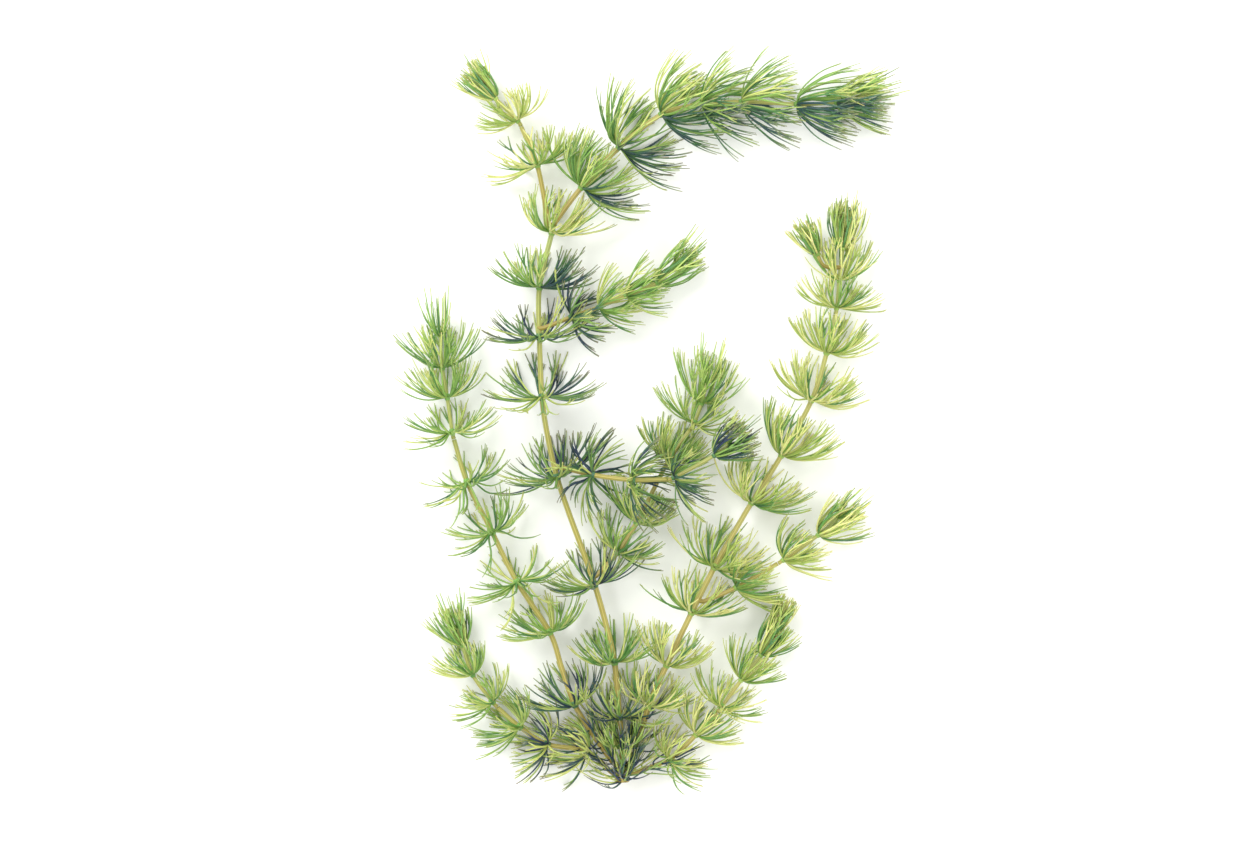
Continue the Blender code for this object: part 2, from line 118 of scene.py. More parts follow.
def read_leaves(bm):
    """Each forked leaf of a solid: its root's corners, root, fork and two points."""
    prongs = [vert for vert in free_points(bm) if len(vert.link_edges) == PRONG_EDGES]
    leaves = []
    while prongs:
        first = prongs.pop()
        second = next(vert for vert in prongs if len(next_to(first) & next_to(vert)) == 2)
        prongs.remove(second)
        fork = next_to(first) | next_to(second)
        corners = set().union(*[next_to(vert) for vert in fork]) - fork - {first, second}
        leaves.append({
            "corners": corners, "solid": corners | fork | {first, second},
            "root": places(corners).mean(axis=0), "fork": places(fork).mean(axis=0),
            "points": [np.array(first.co, float), np.array(second.co, float)],
        })
    return leaves


def read_whorls(leaves):
    """The leaves of a solid sorted into whorls, which share corners of one ring of the stem."""
    leaves = list(leaves)
    whorls = []
    while leaves:
        members = [leaves.pop()]
        found = members
        while found:
            corners = set().union(*[leaf["corners"] for leaf in members])
            found = [leaf for leaf in leaves if corners & leaf["corners"]]
            leaves = [leaf for leaf in leaves if not corners & leaf["corners"]]
            members = members + found
        roots = np.array([leaf["root"] for leaf in members])
        hub = roots.mean(axis=0)
        axis = np.linalg.svd(roots - hub)[2][-1]
        ends = np.array([sum(leaf["points"]) / 2 for leaf in members]).mean(axis=0)
        axis = axis * math.copysign(1.0, (ends - hub) @ axis)
        whorls.append({"hub": hub, "axis": axis, "leaves": members})
    return whorls


def read_tip(node):
    """A growing tip: where its stem starts, its whorls, its young straight leaves and its bud."""
    bm = welded(node)
    leaves = read_leaves(bm)
    used = set().union(*[leaf["solid"] for leaf in leaves])
    free = free_points(bm)
    bud = next(vert for vert in free if len(vert.link_edges) == BUD_EDGES)
    young = [vert for vert in free if len(vert.link_edges) == NEEDLE_EDGES]
    point = np.array(bud.co, float)
    rest = [vert for vert in bm.verts if vert not in used and vert not in free]
    rest.sort(key=lambda vert: -np.linalg.norm(np.array(vert.co) - point))
    whorls = read_whorls(leaves)
    whorls.sort(key=lambda whorl: -np.linalg.norm(whorl["hub"] - point))
    return {
        "start": places(rest[:STEM_SIDES]).mean(axis=0), "whorls": whorls, "bud": point,
        "base": places(next_to(bud)).mean(axis=0),
        "young": [(places(next_to(vert)).mean(axis=0), np.array(vert.co, float)) for vert in young],
    }


def smooth(rows, step):
    """Samples about a step apart of the smooth line through some rows, whatever they hold."""
    padded = np.vstack([2 * rows[0] - rows[1], rows, 2 * rows[-1] - rows[-2]])
    found = []
    for before, here, there, after in zip(padded, padded[1:], padded[2:], padded[3:]):
        count = max(2, round(np.linalg.norm(there[:3] - here[:3]) / step))
        t = np.linspace(0.0, 1.0, count, endpoint=False)[:, None]
        found.append(0.5 * (
            2 * here
            + (there - before) * t
            + (2 * before - 5 * here + 4 * there - after) * t ** 2
            + (3 * here - before - 3 * there + after) * t ** 3
        ))
    return np.vstack(found + [rows[-1:]])


# A stem thins towards its tip, down to the bud, which is as thick as a young leaf is wide
YOUNG_RADIUS = 0.75 * MM
BUD_RADIUS = 0.55 * MM
LINE_STEP = 1.2 * MM

stems = {}
tips = {}
for node in sorted(frame["nodes"]):
    if node.endswith("_stem"):
        stems[node[:-len("_stem")]] = read_stem(node)
    elif node.endswith("_tip"):
        tips[node[:-len("_tip")]] = read_tip(node)

# The middle line of every whole shoot, stem and tip together, with its radius
lines = {}
for name in sorted(set(stems) | set(tips)):
    rows = list(stems.get(name, []))
    if name in tips:
        tip = tips[name]
        radius = min(rows[-1][3], YOUNG_RADIUS) if rows else YOUNG_RADIUS
        if not rows:
            rows.append([*tip["start"], radius])
        rows += [[*whorl["hub"], radius] for whorl in tip["whorls"]]
        rows.append([*tip["base"], BUD_RADIUS])
    lines[name] = smooth(np.array(rows), LINE_STEP)


# Stems. A hornwort's stem is round, stiff and faintly ribbed lengthwise, olive green with an
# ochre flush where it is old. Side stems grow out of the axils of the whorls on it.
RIBS = 7
RIB_HEIGHT = 0.06
SIDES_PER_RIB = 4
AXIL_REACH = 9.0 * MM
AXIL_SWELL = 1.25
FULL_GREEN = 0.5
ROUND_SIDES = 6
BLUNT = 0.1
ROUNDED = 0.6
UP = np.array([0.0, 0.0, 1.0])


class Tissue:
    """Surfaces that grow into one mesh: corners, faces and the values that materials read.

    The values are how far along the shoot or leaf a corner is, where its leaf's tone lies between
    painted sunlight and painted deep shade, how near a corner is to the leaf's margin or to the
    bottom of a stem's groove, and its place in the grain of the skin.
    """

    def __init__(self):
        self.corners = []
        self.faces = []
        self.values = {"along": [], "shade": [], "edge": [], "run": []}
        self.material = 0
        self.materials = []
        self.count = 0

    def add(self, rings, ends, along, shade, run, edge=0.0):
        """Rings of corners joined into one closed skin: a tube with ends, or a ring of rings."""
        number, sides = rings.shape[:2]
        first = self.count
        index = first + np.arange(number * sides).reshape(number, sides)
        after = np.roll(index, -1, axis=1)
        if ends is None:
            onward = np.roll(index, -1, axis=0)
            quads = np.stack([index, after, np.roll(after, -1, axis=0), onward], axis=-1)
        else:
            quads = np.stack([index[:-1], after[:-1], after[1:], index[1:]], axis=-1)
        self.faces += quads.reshape(-1, 4).tolist()
        self.corners.append(rings.reshape(-1, 3))
        spread = np.ones((number, sides))
        self.values["along"].append((along[:, None] * spread).ravel())
        self.values["shade"].append(np.full(number * sides, shade))
        self.values["edge"].append((edge * spread).ravel())
        self.values["run"].append(run.reshape(-1, 3))
        self.count += number * sides
        if ends is not None:
            for end, row, step in ((ends[0], 0, -1), (ends[1], -1, 1)):
                tip = self.count
                ring = index[row][::step]
                self.corners.append(end[None, :])
                self.values["along"].append(np.array([along[row]]))
                self.values["shade"].append(np.array([shade]))
                self.values["edge"].append(np.array([np.mean(edge)]))
                self.values["run"].append(run[row, :1])
                self.faces += [[int(a), int(b), tip] for a, b in zip(ring, np.roll(ring, -1))]
                self.count += 1
        self.materials += [self.material] * (len(self.faces) - len(self.materials))

    def tube(self, line, widths, across, along, shade, flatness=1.0, profile=None, own=0.0,
             point=ROUNDED, edge=None):
        """A tapering tube along a line. Its section is wider across than it is thick.

        Its own number sets its grain apart, and point is how far its far end stands out.
        """
        profile = np.ones(ROUND_SIDES) if profile is None else profile
        heading = np.gradient(line, axis=0)
        heading /= np.linalg.norm(heading, axis=1)[:, None]
        wide = across - heading * (heading * across).sum(axis=1)[:, None]
        wide /= np.linalg.norm(wide, axis=1)[:, None]
        thick = np.cross(heading, wide)
        turn = np.linspace(0.0, 2 * math.pi, len(profile), endpoint=False)
        rings = line[:, None, :] + widths[:, None, None] * profile[None, :, None] * (
            wide[:, None, :] * np.cos(turn)[None, :, None]
            + thick[:, None, :] * np.sin(turn)[None, :, None] * flatness
        )
        travelled = np.concatenate([[0.0], np.cumsum(np.linalg.norm(np.diff(line, axis=0), axis=1))])
        run = np.zeros(rings.shape)
        run[:, :, 0] = travelled[:, None]
        run[:, :, 1] = widths.max() * np.cos(turn)[None, :]
        run[:, :, 2] = widths.max() * np.sin(turn)[None, :] + own
        ends = (
            line[0] - heading[0] * widths[0] * BLUNT,
            line[-1] + heading[-1] * widths[-1] * point,
        )
        edge = np.abs(np.cos(turn)) if edge is None else edge
        self.add(rings, ends, along, shade, run, edge)

    def piece(self, name, materials, replaced):
        """The finished mesh as a piece that rides on the plant and stands for its solid."""
        mesh = bpy.data.meshes.new(name)
        mesh.from_pydata(np.vstack(self.corners), [], self.faces)
        for value in ("along", "shade", "edge"):
            held = mesh.attributes.new(value, "FLOAT", "POINT")
            held.data.foreach_set("value", np.concatenate(self.values[value]).astype(np.float32))
        held = mesh.attributes.new("run", "FLOAT_VECTOR", "POINT")
        held.data.foreach_set("vector", np.vstack(self.values["run"]).astype(np.float32).ravel())
        for material in materials:
            mesh.materials.append(material)
        mesh.polygons.foreach_set("material_index", self.materials)
        mesh.shade_smooth()
        mesh.validate()
        thing = bpy.data.objects.new(name, mesh)
        bpy.context.scene.collection.objects.link(thing)
        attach(thing, "root")
        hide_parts(replaced)
        return thing


def linear(hex_colour):
    """The linear red, green, blue and alpha of an sRGB hex colour."""
    channels = [int(hex_colour[i:i + 2], 16) / 255 for i in (0, 2, 4)]
    return [c / 12.92 if c <= 0.04045 else ((c + 0.055) / 1.055) ** 2.4 for c in channels] + [1.0]


def add_node(tree, kind, inputs, stops=None, **settings):
    """A node with its settings, its inputs (a value or a socket to link) and its colour stops."""
    node = tree.nodes.new(kind)
    for setting, value in settings.items():
        setattr(node, setting, value)
    for socket, value in inputs.items():
        if isinstance(value, bpy.types.NodeSocket):
            tree.links.new(value, node.inputs[socket])
        else:
            node.inputs[socket].default_value = value
    if stops:
        ramp = node.color_ramp
        while len(ramp.elements) < len(stops):
            ramp.elements.new(0.5)
        for element, (position, colour) in zip(ramp.elements, stops):
            element.position = position
            element.color = linear(colour)
    return node


# Fresh plant tissue under a thin waxy skin: fine streaks run along it, 0.25 mm wide and 3 mm
# long, and soft patches of 5 mm turn it a little yellower or greener. It looks satin and wet,
# with rougher and smoother streaks. It is deeper in colour at leaf margins, and darker in a
# stem's grooves, where the darkening is painted shade.
STREAK_WIDTH = 0.25 * MM
STREAK_LENGTH = 3.0 * MM
STREAK_TONES = (0.82, 1.16)
STREAK_SHEEN = (-0.08, 0.1)
STREAK_RELIEF = 0.5
PATCH = 5.0 * MM
MARGIN_START = 0.3
WAX_IOR = 1.45


def start_tissue(name):
    """A material's tree and shader, with the sockets of its streaks and of its soft patches."""
    material = bpy.data.materials.new(name)
    material.use_nodes = True
    tree = material.node_tree
    shader = tree.nodes["Principled BSDF"]
    run = add_node(tree, "ShaderNodeAttribute", {}, attribute_name="run")
    stretched = add_node(
        tree, "ShaderNodeVectorMath",
        {0: run.outputs["Vector"], 1: (1 / STREAK_LENGTH, 1 / STREAK_WIDTH, 1 / STREAK_WIDTH)},
        operation="MULTIPLY",
    )
    streaks = add_node(
        tree, "ShaderNodeTexNoise",
        {"Vector": stretched.outputs["Vector"], "Scale": 1.0, "Detail": 2.0},
    )
    spot = add_node(tree, "ShaderNodeTexCoord", {})
    patches = add_node(
        tree, "ShaderNodeTexNoise",
        {"Vector": spot.outputs["Object"], "Scale": 1 / PATCH, "Detail": 3.0},
    )
    return material, tree, shader, streaks.outputs["Fac"], patches.outputs["Fac"]


def finish_tissue(tree, shader, colour, streaks, rough, depth, margin):
    """The skin's streaky sheen and relief, and its colour, which is deeper at leaf edges and, as
    painted shade, in a stem's grooves.
    """
    darker = add_node(
        tree, "ShaderNodeMapRange",
        {"Value": streaks, "To Min": STREAK_TONES[0], "To Max": STREAK_TONES[1]},
    )
    # The edge value deepens leaf margins, and on a stem it lays painted shade in the grooves between
    # ribs
    edge = add_node(tree, "ShaderNodeAttribute", {}, attribute_name="edge")
    deeper = add_node(
        tree, "ShaderNodeMapRange",
        {
            "Value": edge.outputs["Fac"], "From Min": MARGIN_START,
            "To Min": 1.0, "To Max": margin,
        },
    )
    strength = add_node(
        tree, "ShaderNodeMath", {0: darker.outputs["Result"], 1: deeper.outputs["Result"]},
        operation="MULTIPLY",
    )
    streaked = add_node(
        tree, "ShaderNodeVectorMath",
        {0: colour, "Scale": strength.outputs["Value"]}, operation="SCALE",
    )
    sheen = add_node(
        tree, "ShaderNodeMapRange",
        {
            "Value": streaks,
            "To Min": rough + STREAK_SHEEN[0], "To Max": rough + STREAK_SHEEN[1],
        },
    )
    relief = add_node(
        tree, "ShaderNodeBump", {"Height": streaks, "Strength": STREAK_RELIEF, "Distance": depth},
    )
    tree.links.new(streaked.outputs["Vector"], shader.inputs["Base Color"])
    tree.links.new(sheen.outputs["Result"], shader.inputs["Roughness"])
    tree.links.new(relief.outputs["Normal"], shader.inputs["Normal"])
    shader.inputs["IOR"].default_value = WAX_IOR
    shader.inputs["Metallic"].default_value = 0.0


def drifted(tree, value, patches, drift):
    """A value from 0 to 1 that the soft patches move up and down by half the drift."""
    move = add_node(
        tree, "ShaderNodeMath", {0: patches, 1: drift, 2: -drift / 2}, operation="MULTIPLY_ADD",
    )
    moved = add_node(
        tree, "ShaderNodeMath", {0: value, 1: move.outputs["Value"]},
        operation="ADD", use_clamp=True,
    )
    return moved.outputs["Value"]


# The skin goes from an ochre foot through olive to the yellow green of young growth
STEM_COLOURS = ((0.0, "A8964C"), (0.3, "B6AA58"), (0.65, "B2AE5C"), (1.0, "A2B062"))
STEM_DRIFT = 0.5
STEM_ROUGHNESS = 0.42
STEM_RELIEF = 0.06 * MM
# How dark the painted shade in the grooves between the stem's ribs is
GROOVE_PAINTED_SHADE = 0.55


def make_stem_material():
    """Stem skin: satin, streaked lengthwise, with painted shade in the grooves between its ribs."""
    material, tree, shader, streaks, patches = start_tissue("hornwort_stem_skin")
    along = add_node(tree, "ShaderNodeAttribute", {}, attribute_name="along")
    age = drifted(tree, along.outputs["Fac"], patches, STEM_DRIFT)
    colour = add_node(tree, "ShaderNodeValToRGB", {"Fac": age}, stops=STEM_COLOURS)
    finish_tissue(
        tree, shader, colour.outputs["Color"], streaks, STEM_ROUGHNESS, STEM_RELIEF, GROOVE_PAINTED_SHADE,
    )
    return material


stem_skin = make_stem_material()


def axil_row(name):
    """Where a side stem grows out: the nearest place inside another shoot's stem, or none."""
    start = lines[name][0]
    best = None
    for other, line in lines.items():
        if other != name:
            gaps = np.linalg.norm(line[:, :3] - start[:3], axis=1) - line[:, 3]
            nearest = int(np.argmin(gaps))
            if best is None or gaps[nearest] < best[0]:
                best = (gaps[nearest], line[nearest])
    if name == "main" or best[0] > AXIL_REACH:
        return []
    return [[*best[1][:3], start[3] * AXIL_SWELL]]


def stem_tube(tissue, rows, name):
    """A ribbed stem along rows of place and radius, part of the shoot of that name."""
    line = smooth(np.array(rows), LINE_STEP)
    whole = lines[name]
    nearest = [np.argmin(np.linalg.norm(whole[:, :3] - place, axis=1)) for place in line[:, :3]]
    turn = np.linspace(0.0, 2 * math.pi, RIBS * SIDES_PER_RIB, endpoint=False)
    ribs = np.cos(RIBS * turn)
    # The grooves between the ribs get painted shade through the edge value
    tissue.tube(
        line[:, :3], line[:, 3], UP, np.array(nearest) / len(whole), FULL_GREEN,
        profile=1 + RIB_HEIGHT * ribs, own=sum(map(ord, name)) * MM, point=BLUNT,
        edge=0.5 - 0.5 * ribs,
    )


for name, rows in stems.items():
    tissue = Tissue()
    stem_tube(tissue, axil_row(name) + rows.tolist(), name)
    tissue.piece(name + "_stem_tube", [stem_skin], name + "_stem")


# Whorl leaves. Each leaf is a thin stiff thread that forks once or twice, wider than thick,
# with tiny teeth on its outer edges. All leaves of a whorl grow from one swollen green node.
LEAF_SIDES = 5
STALK_STEPS = 6
PRONG_STEPS = 8
TWIG_STEPS = 6

# Half the width of a leaf where it leaves the node, below and above its fork, at the start
# of a twig and at its points
ROOT_WIDTH = 0.72 * MM
STALK_WIDTH = 0.56 * MM
PRONG_WIDTH = 0.52 * MM
TWIG_WIDTH = 0.44 * MM
POINT_WIDTH = 0.22 * MM
ROOT_FLARE = 4
LATER_PRONG = 0.85
LEAF_FLATNESS = 0.7

# How a leaf bends: it first droops a little, its prongs splay apart and hook back in
DROOP = 0.12
SPLAY = 0.16
HOOK = 0.28
FLOOR_ROOM = 0.25 * MM

# A quarter of the prongs fork again into a twig, which is a little shorter and stands aside
SECOND_FORK = 0.25
TWIG_PLACES = (1, 4)
TWIG_TILT = (-0.35, 0.35)
TWIG_ASIDE = (0.2, 0.34)
TWIG_LENGTHS = (0.85, 1.0)
TWIG_SPLAY = 0.25

TOOTH_LENGTH = 0.42 * MM
TOOTH_WIDTH = 0.13 * MM
TOOTH_SPACING = 2.6 * MM
FIRST_TOOTH = (0.6, 1.2)
NEXT_TOOTH = (0.7, 1.4)
TOOTH_DEPTH = 0.6
TOOTH_STRETCH = 1.6
TOOTH_LEAN = 0.9


def arc(start, end, leaving, arriving, count):
    """Points of a smooth bend between two places, given its directions at both."""
    reach = np.linalg.norm(end - start) / 3
    t = np.linspace(0.0, 1.0, count)[:, None]
    return (
        start * (1 - t) ** 3
        + (start + leaving * reach) * 3 * t * (1 - t) ** 2
        + (end - arriving * reach) * 3 * t ** 2 * (1 - t)
        + end * t ** 3
    )


def off_the_floor(line, widths):
    line = line.copy()
    line[:, 2] = np.maximum(line[:, 2], widths * LEAF_FLATNESS + FLOOR_ROOM)
    return line


def thread(tissue, line, widths, across, along, shade, own):
    """One thread of a leaf, with its rounded point."""
    tissue.tube(
        off_the_floor(line, widths), widths, across, along, shade,
        flatness=LEAF_FLATNESS, profile=np.ones(LEAF_SIDES), own=own,
    )


def teeth(tissue, line, widths, across, along, shade, own, rng):
    """Tiny pointed teeth on one edge of a thread, leaning towards its point."""
    line = off_the_floor(line, widths)
    lengths = np.linalg.norm(np.diff(line, axis=0), axis=1)
    travelled = np.concatenate([[0.0], np.cumsum(lengths)])
    place = TOOTH_SPACING * rng.uniform(*FIRST_TOOTH)
    while place < travelled[-1] - TOOTH_LENGTH:
        spot = np.array([np.interp(place, travelled, line[:, k]) for k in range(3)])
        width = np.interp(place, travelled, widths)
        ahead = np.array([np.interp(place + TOOTH_LENGTH, travelled, line[:, k]) for k in range(3)])
        heading = unit(ahead - spot)
        side = unit(across - heading * (across @ heading))
        up = np.cross(heading, side)
        base = spot + side * width * TOOTH_DEPTH
        ring = base + TOOTH_WIDTH * np.array(
            [heading * TOOTH_STRETCH, up - heading, -up - heading]
        )
        ends = (spot, base + unit(side + heading * TOOTH_LEAN) * TOOTH_LENGTH)
        share = np.interp(place, travelled, along)
        run = np.full((1, 3, 3), place + own)
        tissue.add(ring[None], ends, np.array([share]), shade, run)
        place += TOOTH_SPACING * rng.uniform(*NEXT_TOOTH)


def grow_twig(tissue, prong, along, split, aside, fan, axis, scale, shade, own, rng):
    """The twig of a prong that forks again at one of its steps, off to the side given."""
    begin = prong[split]
    point = prong[-1]
    heading = unit(prong[split + 1] - prong[split - 1])
    length = np.linalg.norm(point - begin)
    end = point + unit(aside) * length * rng.uniform(*TWIG_ASIDE)
    end = begin + unit(end - begin) * length * rng.uniform(*TWIG_LENGTHS)
    leaving = unit(heading + TWIG_SPLAY * unit(end - point))
    arriving = unit(end - begin + axis * HOOK * length)
    twig = arc(begin, end, leaving, arriving, TWIG_STEPS)
    widths = np.linspace(TWIG_WIDTH, POINT_WIDTH, TWIG_STEPS) * scale
    thread(tissue, twig, widths, fan, np.linspace(along[split], 1.0, TWIG_STEPS), shade, own)


def grow_leaf(tissue, start, axis, outward, fork, points, scale, shade, rng):
    """One leaf through its fork to its two points. Its prongs may fork again on the way."""
    own = rng.uniform(0, 1)
    middle = sum(points) / len(points)
    crotch = unit(unit(fork - start) + unit(middle - fork))
    fan = unit(points[0] - points[1])
    stalk = arc(start, fork, unit(outward - axis * DROOP), crotch, STALK_STEPS)
    neck = np.linspace(0.0, 1.0, STALK_STEPS)
    flare = (1 - neck) ** ROOT_FLARE
    stalk_widths = (STALK_WIDTH + (ROOT_WIDTH - STALK_WIDTH) * flare) * scale
    stalk_share = np.linalg.norm(fork - start) / (
        np.linalg.norm(fork - start) + np.linalg.norm(middle - fork)
    )
    for side, point in ((1.0, points[0]), (-1.0, points[1])):
        onward = unit(point - fork)
        ending = unit(onward + axis * HOOK)
        prong = arc(fork, point, unit(crotch + fan * side * SPLAY), ending, PRONG_STEPS)
        widths = np.linspace(PRONG_WIDTH, POINT_WIDTH, PRONG_STEPS) * scale
        along = np.linspace(stalk_share, 1.0, PRONG_STEPS)
        if side > 0:
            line = np.vstack([stalk, prong[1:]])
            all_widths = np.concatenate([stalk_widths, widths[1:]])
            all_along = np.concatenate([neck * stalk_share, along[1:]])
            thread(tissue, line, all_widths, fan, all_along, shade, own)
        else:
            widths[0] *= LATER_PRONG
            thread(tissue, prong, widths, fan, along, shade, own)
        teeth(tissue, prong, widths, fan * side, along, shade, own, rng)
        if rng.random() < SECOND_FORK:
            split = rng.randint(*TWIG_PLACES)
            aside = fan * side * rng.choice((-1.0, 1.0)) + axis * rng.uniform(*TWIG_TILT)
            grow_twig(tissue, prong, along, split, aside, fan, axis, scale, shade, own, rng)


# How the leaves of a whorl are painted with light and shade: chances and ranges from the yellow
# green of painted sunlight (0) through full green (0.45) to the blue green, nearly black, of
# painted deep shade (1). Each leaf draws its tone from them at random.
SHADES = {
    "dark_leaves": [(0.42, 0.76, 1.0), (0.33, 0.4, 0.66), (0.25, 0.05, 0.3)],
    "green_leaves": [(0.22, 0.6, 0.8), (0.48, 0.36, 0.56), (0.3, 0.05, 0.28)],
    "pale_leaves": [(0.28, 0.62, 0.84), (0.37, 0.36, 0.54), (0.35, 0.0, 0.24)],
    "foot": [(0.45, 0.82, 1.0), (0.3, 0.3, 0.55), (0.25, 0.0, 0.22)],
}


def pick_shade(slot, rng):
    draw = rng.random()
    for chance, low, high in SHADES[slot]:
        if draw < chance:
            return rng.uniform(low, high)
        draw -= chance
    return SHADES[slot][-1][2]


# Leaf skin is thin, so a little light comes through it and softens the green. Its streaks are
# shallower than the stem's, and its last third pales towards a straw and rust coloured point.
# Where the colours of painted sunlight, full green, painted shade and painted deep shade sit on a
# leaf's tone
LEAF_STOPS = (0.05, 0.45, 0.72, 0.95)
LEAF_DRIFT = 0.36
LEAF_ROUGHNESS = 0.4
LEAF_RELIEF = 0.04 * MM
POINT_COLOURS = ((0.85, "D2D886"), (1.0, "C4AA78"))
POINT_START = 0.7
POINT_FADE = 0.45
LIGHT_THROUGH = 0.35
LIGHT_REACH = (0.5, 0.8, 0.2)
MARGIN_TONE = 0.62
SUNLIT_MARGIN_TONE = 0.66


def make_leaf_material(name, colours, margin):
    """Leaf skin: satin green, in the colours of leaves in sun, full green, shade and deep shade."""
    material, tree, shader, streaks, patches = start_tissue(name)
    shade = add_node(tree, "ShaderNodeAttribute", {}, attribute_name="shade")
    mixed = drifted(tree, shade.outputs["Fac"], patches, LEAF_DRIFT)
    body = add_node(
        tree, "ShaderNodeValToRGB", {"Fac": mixed}, stops=list(zip(LEAF_STOPS, colours)),
    )
    along = add_node(tree, "ShaderNodeAttribute", {}, attribute_name="along")
    fade = add_node(
        tree, "ShaderNodeMapRange",
        {
            "Value": along.outputs["Fac"], "From Min": POINT_START, "From Max": 1.0,
            "To Max": POINT_FADE,
        },
    )
    point = add_node(
        tree, "ShaderNodeValToRGB", {"Fac": along.outputs["Fac"]}, stops=POINT_COLOURS,
    )
    colour = add_node(
        tree, "ShaderNodeMix",
        {"Factor": fade.outputs["Result"], "A": body.outputs["Color"], "B": point.outputs["Color"]},
        data_type="RGBA",
    )
    finish_tissue(
        tree, shader, colour.outputs["Result"], streaks, LEAF_ROUGHNESS, LEAF_RELIEF, margin,
    )
    shader.inputs["Subsurface Weight"].default_value = LIGHT_THROUGH
    shader.inputs["Subsurface Radius"].default_value = LIGHT_REACH
    shader.inputs["Subsurface Scale"].default_value = MM
    return material


# Each slot's colours in painted sunlight, full green, painted shade and painted deep shade. The
# shaded and sunlit materials are darker and lighter copies of the green one, which paint shade and
# light onto whole whorls.
leaf_skins = {
    "dark_leaves": make_leaf_material(
        "hornwort_leaf_shaded", ("D6DE80", "88AE56", "4E7C52", "2E3E58"), MARGIN_TONE,
    ),
    "green_leaves": make_leaf_material(
        "hornwort_leaf_green", ("DEE48A", "90B858", "5A9048", "2F4F55"), MARGIN_TONE,
    ),
    "pale_leaves": make_leaf_material(
        "hornwort_leaf_sunlit", ("EAEA98", "B2C664", "6CA04A", "3E6A56"), SUNLIT_MARGIN_TONE,
    ),
}

# A swollen node is a ring round the stem, with a lump where each leaf leaves it
NODE_HEIGHT = 1.5 * MM
NODE_WALL = 0.55 * MM
NODE_STEPS = 10
NODE_SIDES = 48
NODE_RADIUS = 0.9
NODE_LEVEL = 0.75
LUMP_LEVEL = 0.4
LUMP_WIDTH = 0.22
NODE_AGE = 0.1
ROOT_DEPTH = 0.8

# Slighter leaves stand between a whorl's leaves, part of the way round from one to the next.
# They are a little shorter and fork further out. How far they drift aside and how far their
# prongs spread are shares of their length.
COMPANION_SCALE = 0.85
COMPANION_PLACE = (0.3, 0.7)
COMPANION_LENGTHS = (0.8, 1.0)
COMPANION_FORK = (0.0, 0.4)
COMPANION_DRIFT = (-0.1, 0.1)
COMPANION_SPREAD = (0.07, 0.12)
LEAST_REACH = 2.5 * MM
STEM_ROOM = 0.7 * MM

# Each has its own range of lift: how far it turns from its neighbours towards the stem, in
# radians, or below nought hangs. Where the shoot is open some hang far, at tips they stand up,
# and at the foot they do some of both.
COMPANION_LIFTS = ((-0.15, 0.1), (0.25, 0.55), (0.0, 0.3), (-0.25, 0.05))
OPEN_LIFTS = ((-0.2, 0.1), (0.2, 0.5), (-0.9, -0.35), (-0.3, 0.3))
OPEN_WHORLS = ("left_whorl_3", "left_whorl_4", "left_whorl_5", "middle_side_whorl_1")
DENSE_LIFTS = ((-0.25, 0.05), (0.25, 0.5), (0.0, 0.25), (-0.2, 0.1), (0.1, 0.4), (-0.35, 0.0))
DENSE_WHORLS = (
    "top_right|left_tip|right_tip|right_whorl_[5-8]|middle_side_(whorl_2|tip)|rising_side_whorl_3"
)
TIP_LIFTS = ((-0.15, 0.1), (0.35, 0.65), (0.1, 0.35), (-0.05, 0.2), (0.2, 0.5))
FOOT_LIFTS = ((-0.15, 0.1), (0.25, 0.5), (-0.6, -0.2), (0.0, 0.35))
FOOT_REACH = 35.0 * MM

# On the level top branch most leaves of the lower side are in deep shade, and the rest in
# half shade. One whorl of the main shoot is shaded on its right only.
LOWER_DEEP = (0.78, 1.0)
LOWER_DEEP_SHARE = 0.72
LOWER_HALF = (0.3, 0.6)
RIGHT_DEEP = (0.75, 1.0)
RIGHT_START = 0.1
SHADED_BRANCH = "top_right"
SHADED_WHORL = "main_whorl_8"


def clear_of(points, own, room):
    """Whether a line of points keeps clear of every shoot's stem but its own."""
    for name, line in lines.items():
        if name != own:
            gaps = np.linalg.norm(points[:, None, :] - line[None, :, :3], axis=2) - line[None, :, 3]
            if gaps.min() < room:
                return False
    return True


def radius_at(name, place):
    """The radius of a shoot's stem beside a place."""
    line = lines[name]
    return line[np.argmin(np.linalg.norm(line[:, :3] - place, axis=1)), 3]


def swollen_node(tissue, whorl, radius, shade):
    """The green swelling of the stem that a whorl's leaves grow from, with a lump at each."""
    hub = whorl["hub"]
    axis = whorl["axis"]
    first = unit(whorl["leaves"][0]["root"] - hub)
    second = np.cross(axis, first)
    turn = np.linspace(0.0, 2 * math.pi, NODE_SIDES, endpoint=False)
    lump = np.zeros(NODE_SIDES)
    for leaf in whorl["leaves"]:
        aside = leaf["root"] - hub
        azimuth = math.atan2(aside @ second, aside @ first)
        gap = np.abs((turn - azimuth + math.pi) % (2 * math.pi) - math.pi)
        lump += np.exp(-(gap / LUMP_WIDTH) ** 2)
    around = np.linspace(0.0, 2 * math.pi, NODE_STEPS, endpoint=False)
    bulge = NODE_WALL * (NODE_LEVEL + LUMP_LEVEL * lump)[:, None] * np.cos(around)[None, :]
    rise = NODE_HEIGHT * np.sin(around)[None, :] * np.ones((NODE_SIDES, 1))
    outward = first[None, :] * np.cos(turn)[:, None] + second[None, :] * np.sin(turn)[:, None]
    reach = radius * NODE_RADIUS + bulge
    rings = hub + outward[:, None, :] * reach[:, :, None] + axis * rise[:, :, None]
    run = np.zeros(rings.shape)
    run[:, :, 0] = rise
    run[:, :, 1] = (turn * radius)[:, None]
    tissue.add(rings, None, np.full(NODE_SIDES, NODE_AGE), shade, run)


